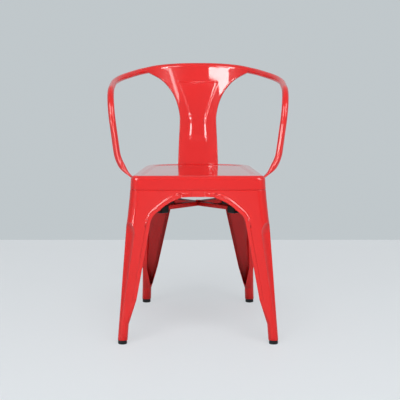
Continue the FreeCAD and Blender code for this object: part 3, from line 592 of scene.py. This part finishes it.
def makeBorder(name, tree, rail, atHigh, material):
    look = borderLook
    low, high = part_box(rail)
    across = 0 if high.x - low.x > high.y - low.y else 1
    facing = Vector((0, 0, 0))
    facing[1 - across] = 1 if low[1 - across] + high[1 - across] > 0 else -1
    seam, side = (high[across], 1) if atHigh else (low[across], -1)

    def faceAt(offset, height):
        # the outer face at an offset from the seam, toward the leg where it is positive
        start = facing * look["probeStart"]
        start[across] = seam + side * offset
        start.z = height
        hit = tree.ray_cast(start, -facing)[0]
        return hit if hit is not None and hit.dot(facing) > 0 else None

    lowest, last = low.z + look["lowest"], look["rows"] - 1
    heights = [lowest + look["height"] * row / last for row in range(look["rows"])]
    offsets = [look["overlap"]] + [-look["run"] * step / look["steps"] for step in range(look["steps"] + 1)]
    points, rows = [], 0
    for height in heights:
        onLeg = faceAt(look["legProbe"], height)
        faces = [faceAt(min(offset, -look["apronProbe"]), height) for offset in offsets]
        if onLeg is None or None in faces:
            continue
        raised = max(0.0, (onLeg - faces[0]).dot(facing))
        row = []
        for offset, face in zip(offsets, faces):
            share = soft(max(0.0, -offset) / look["run"])
            stands = raised * (1 - share) + look["proud"] * (1 - look["proudFall"] * share)
            point = face + facing * stands
            point[across] = seam + side * offset
            row.append(point)
        if not rows:
            # the rim and its fold, under the first row
            rim = [point - Vector((0, 0, look["rim"])) for point in row]
            points += [point - facing * (look["fold"] + raised) for point in rim] + rim
            rows = 2
        points += row
        rows += 1
    if rows >= look["fewestRows"]:
        piece = makePiece(name, points, gridFaces(rows, len(offsets)), material, sharp=50)
        thicken(piece, look["skin"], 0)


borderTree = meshTree(legNames + railNames)
borderPaint = paintMaterial("borderPaint", edgeRadius=0.0003, coat=0.65)
for rail in railNames:
    for atHigh in (False, True):
        side = "high" if atHigh else "low"
        makeBorder("border_" + rail + "_" + side, borderTree, rail, atHigh, borderPaint)
print("borders carried on")


# Rounded shoulders of the border, pressed along the outside of its step on each wing

shoulderLook = {
    # how far outside of the step's edge, and the share of the step's depth
    "profile": [(-0.0006, -0.03), (0.00015, -0.01), (0.0006, 0.06), (0.0012, 0.22), (0.0018, 0.45),
                (0.0024, 0.68), (0.003, 0.87), (0.0035, 0.97), (0.0039, 1.03)],
    "leastStep": 0.0006,                    # only a step between these depths is the border's
    "greatestStep": 0.0026,
    "borderProbe": 0.0012,                  # inside of the edge, where the border is felt
    "wingProbe": 0.0045,                    # outside of it, where the wing is felt
    "probeReach": 0.02,                     # off the face, and as far behind it
    "proud": 0.00004,
    "skin": 0.0002,
    "weld": 0.000005,                       # points of the solid that are nearer than this are one
    "longestEdge": 0.05,                    # a longer one is no part of the pressed step
    "leastOutward": 0.9,                    # how much the border looks outward, and its wall at most
    "mostOutward": 0.4,
}


def stepEdges(work, facing):
    # the sharp edges where a face that looks outward turns down a wall, each with its wall
    look = shoulderLook
    for edge in work.edges:
        if len(edge.link_faces) != 2 or edge.calc_length() > look["longestEdge"]:
            continue
        border, wall = sorted(edge.link_faces, key=lambda face: -face.normal.dot(facing))
        if border.normal.dot(facing) < look["leastOutward"]:
            continue
        if abs(wall.normal.dot(facing)) > look["mostOutward"]:
            continue
        if (wall.calc_center_median() - edge.verts[0].co).dot(border.normal) <= 0:
            yield edge, wall


def stepChains(mesh, facing):
    # those edges joined up, as places along them with the way that the wall looks
    work = bmesh.new()
    work.from_mesh(mesh)
    bmesh.ops.remove_doubles(work, verts=work.verts[:], dist=shoulderLook["weld"])
    work.normal_update()
    work.verts.index_update()
    outward, links, places = {}, {}, {}
    for edge, wall in stepEdges(work, facing):
        first, second = edge.verts
        for vertex, other in ((first, second), (second, first)):
            outward.setdefault(vertex.index, Vector())
            outward[vertex.index] += wall.normal - facing * wall.normal.dot(facing)
            links.setdefault(vertex.index, []).append(other.index)
            places[vertex.index] = vertex.co.copy()
    work.free()
    chains, seen = [], set()
    for start in sorted(links, key=lambda index: (len(links[index]), index)):
        if start in seen:
            continue
        chain, at = [], start
        while at is not None:
            seen.add(at)
            chain.append((places[at], outward[at].normalized()))
            at = next((other for other in links[at] if other not in seen), None)
        chains.append(chain)
    return chains


def makeShoulders(name, mesh, facing, material):
    look = shoulderLook
    tree = BVHTree.FromPolygons([vertex.co for vertex in mesh.vertices],
                                [tuple(face.vertices) for face in mesh.polygons])
    points, faces = [], []
    columns = len(look["profile"])

    def faceAt(place):
        return tree.ray_cast(place + facing * look["probeReach"], -facing, 2 * look["probeReach"])[0]

    for chain in stepChains(mesh, facing):
        started = False
        for place, side in chain:
            border = faceAt(place - side * look["borderProbe"])
            wing = faceAt(place + side * look["wingProbe"])
            step = (border - wing).dot(facing) if border and wing else 0
            if not look["leastStep"] < step < look["greatestStep"]:
                started = False
                continue
            top = place.dot(facing) + look["proud"]
            for offset, share in look["profile"]:
                point = place + side * offset
                points.append(point + facing * (top - step * share - point.dot(facing)))
            if started:
                start = len(points) - 2 * columns
                faces += [tuple(start + corner for corner in face) for face in gridFaces(2, columns)]
            started = True
    if faces:
        piece = makePiece(name, points, faces, material, sharp=60)
        thicken(piece, look["skin"], 0)


# a little painted shade in corners
shoulderPaint = paintMaterial("shoulderPaint", edgeRadius=0.0003, dust=0.1)
for legName in legNames:
    low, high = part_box(legName)
    ways = {
        "face": Vector((0, -1 if low.y + high.y < 0 else 1, 0)),
        "flank": Vector((1 if low.x + high.x > 0 else -1, 0, 0)),
    }
    for way, facing in ways.items():
        makeShoulders("shoulder_" + legName + "_" + way, nodes[legName].data, facing, shoulderPaint)
print("shoulders pressed")


# Black plastic

plasticLook = {
    "colour": (0.006, 0.006, 0.0065),
    "worn": (0.022, 0.022, 0.023),
    "gloss": 0.22,
    "roughness": 0.42,
    "grainScale": 1500.0,
    "grainHeight": 0.00006,
    "grainHaze": 0.08,                      # a haze is what the effect adds to the roughness
    "smearScale": 35.0,                     # dusty patches, per metre
    "smearRange": (0.5, 0.75),
    "smearShare": 0.35,
    "smearHaze": 0.18,
    "edgeRadius": 0.0008,
    "edgeShare": 0.4,
}


def plasticMaterial(name, **changes):
    look = {**plasticLook, **changes}
    shader = Shader(bpy.data.materials.new(name))
    place = shader.place()
    rounded, edge = shader.edges(look["edgeRadius"])
    grain = shader.noise(place, look["grainScale"], detail=2.0)
    dusty = shader.ramp(shader.noise(place, look["smearScale"], detail=3.0), look["smearRange"])
    worn = dusty * look["smearShare"] + edge * look["edgeShare"]
    roughness = look["roughness"] + dusty * look["smearHaze"] + grain * look["grainHaze"]
    surface = shader.node("BsdfPrincipled", {}, {
        "Base Color": shader.blend(worn, look["colour"], look["worn"]),
        "Roughness": roughness.clamped(),
        "Normal": shader.bump(grain, look["grainHeight"], rounded),
        "Specular IOR Level": look["gloss"]})
    return shader.finish(surface)


assign(plasticMaterial("capPlastic"), capNames)
assign(plasticMaterial("blockPlastic", roughness=0.5, grainScale=1100.0), bumperNames)
print("plastic assigned")


# Studio

studioLook = {
    "floorColour": (0.77, 0.81, 0.84),
    "patchColour": (0.76, 0.79, 0.815),     # wide patches that are barely seen
    "patchScale": 0.9,
    "patchShare": 0.15,
    "floorRoughness": 0.55,
    "patchHaze": 0.05,
    "floorGloss": 0.3,
    "floorPlain": 0.6,                      # share of plain colour where the floor is seen
    "floorBack": 1.235,                     # where the floor ends and the backdrop begins
    "floorReach": 7.0,
    "wallColour": (0.53, 0.575, 0.597),
    "fill": 0.3,                            # world light on the object
}


def seenRays(shader):
    # 1 for rays from the camera and for what gloss and glass show
    outputs = shader.node("LightPath").output.node.outputs
    rays = [Socket(shader, outputs["Is %s Ray" % kind]) for kind in ("Camera", "Glossy", "Transmission")]
    return (rays[0] + rays[1] + rays[2]).clamped()


def floorMaterial():
    look = studioLook
    shader = Shader(bpy.data.materials.new("floorPlain"))
    patches = shader.noise(shader.place(), look["patchScale"], detail=2.0)
    colour = shader.blend(patches * look["patchShare"], look["floorColour"], look["patchColour"])
    lit = shader.node("BsdfPrincipled", {}, {
        "Base Color": colour,
        "Roughness": look["floorRoughness"] + patches * look["patchHaze"],
        "Specular IOR Level": look["floorGloss"]})
    # seen straight or in a reflection the floor is partly plain colour, so that its shadow stays soft
    shown = shader.node("Emission", {}, {"Color": colour, "Strength": 1.0})
    share = seenRays(shader) * look["floorPlain"]
    return shader.finish(shader.node("MixShader", {}, {0: share, 1: lit, 2: shown}))


def makeFloor():
    reach, back = studioLook["floorReach"], studioLook["floorBack"]
    corners = [(-reach, -reach, 0), (reach, -reach, 0), (reach, back, 0), (-reach, back, 0)]
    mesh = bpy.data.meshes.new("floor")
    mesh.from_pydata(corners, [], [(0, 1, 2, 3)])
    floor = bpy.data.objects.new("floor", mesh)
    mesh.materials.append(floorMaterial())
    bpy.context.scene.collection.objects.link(floor)


def makeWorld():
    world = bpy.data.worlds.new("studio")
    bpy.context.scene.world = world
    shader = Shader(world)
    lit = shader.node("Background", {}, {"Color": (1, 1, 1), "Strength": studioLook["fill"]})
    shown = shader.node("Background", {}, {"Color": studioLook["wallColour"], "Strength": 1.0})
    mixed = shader.node("MixShader", {}, {0: seenRays(shader), 1: lit, 2: shown})
    shader.node("OutputWorld", {}, {"Surface": mixed})


def makeLamp(name, place, aim, size, power, roll=0.0, gloss=True, soft=True):
    # a lamp can be left out of the reflections, or of the soft light
    data = bpy.data.lights.new(name, "AREA")
    data.shape = "RECTANGLE"
    data.size, data.size_y = size
    data.energy = power
    lamp = bpy.data.objects.new(name, data)
    lamp.location = place
    lamp.visible_glossy = gloss
    lamp.visible_diffuse = soft
    turned = (Vector(aim) - Vector(place)).to_track_quat("-Z", "Y")
    lamp.rotation_euler = (turned @ Quaternion((0, 0, 1), math.radians(roll))).to_euler()
    bpy.context.scene.collection.objects.link(lamp)


# without soft light a lamp is seen in the gloss only, as the lines along edges and bends
lamps = {
    "keyFar": {"place": (-1.98, -2.4, 1.525), "aim": (-1.98, 0, 1.525), "size": (1.25, 0.21), "power": 15},
    "keyNear": {"place": (-0.925, -2.4, 1.51), "aim": (-0.925, 0, 1.51), "size": (0.86, 0.08), "power": 4},
    "keyEdge": {"place": (-3.15, -2.4, 1.87), "aim": (0, 0.19, 0.56), "size": (0.8, 0.28), "power": 20,
                "soft": False},
    "sideBox": {"place": (1.99, -2.4, 1.216), "aim": (1.99, 0, 1.216), "size": (1.55, 0.6), "power": 26,
                "roll": 11.5, "gloss": False},
    "sideStrip": {"place": (1.96, -2.4, 1.4), "aim": (1.96, 0, 1.4), "size": (1.55, 0.32), "power": 14,
                  "roll": 11.5, "soft": False},
    "sideEdge": {"place": (3.15, -2.4, 1.88), "aim": (0, 0.19, 0.56), "size": (0.8, 0.28), "power": 20,
                 "soft": False},
    "keyLow": {"place": (-2.95, -2.4, 1.13), "aim": (0, 0.19, 0.51), "size": (0.6, 0.54), "power": 15,
               "soft": False},
    "sideLow": {"place": (2.95, -2.4, 1.13), "aim": (0, 0.19, 0.51), "size": (0.6, 0.54), "power": 15,
                "soft": False},
    "skyBox": {"place": (0, -2.2, 3.2), "aim": (0, 0, 0.5), "size": (2.6, 1.6), "power": 70, "gloss": False},
    "ceilingLeft": {"place": (-1.7, -1.8, 2.3), "aim": (0, 0, 0.5), "size": (1.7, 1.05), "power": 42,
                    "soft": False},
    "ceilingRight": {"place": (1.7, -1.8, 2.3), "aim": (0, 0, 0.5), "size": (1.7, 1.05), "power": 42,
                     "soft": False},
    "lowStrip": {"place": (0, -1.75, 0.22), "aim": (0, 0, 0.22), "size": (0.2, 0.22), "power": 4,
                 "soft": False},
    "lowFar": {"place": (-1.6, -1.75, 0.24), "aim": (-1.6, 0, 0.24), "size": (1.65, 0.24), "power": 16,
               "soft": False},
}

makeFloor()
makeWorld()
for name, lamp in lamps.items():
    makeLamp(name, **lamp)
print("studio made")


# Camera, at the viewing angle of the photograph

cameraLook = {
    "distance": 3.66,                       # in front of the front feet
    "height": 0.98,
    "pitch": 9.19,
    "lens": 127.17,
    "sensor": 36,
    "shift": 0.005,
}


def makeCamera():
    low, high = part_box("foot_cap_front_left")
    data = bpy.data.cameras.new("camera")
    data.lens = cameraLook["lens"]
    data.sensor_width = cameraLook["sensor"]
    data.shift_x = cameraLook["shift"]
    camera = bpy.data.objects.new("camera", data)
    camera.location = (0, (low.y + high.y) / 2 - cameraLook["distance"], cameraLook["height"])
    camera.rotation_euler = (math.radians(90 - cameraLook["pitch"]), 0, 0)
    bpy.context.scene.collection.objects.link(camera)
    bpy.context.scene.camera = camera


makeCamera()
bpy.context.scene.view_settings.view_transform = "Standard"
print("scene done")
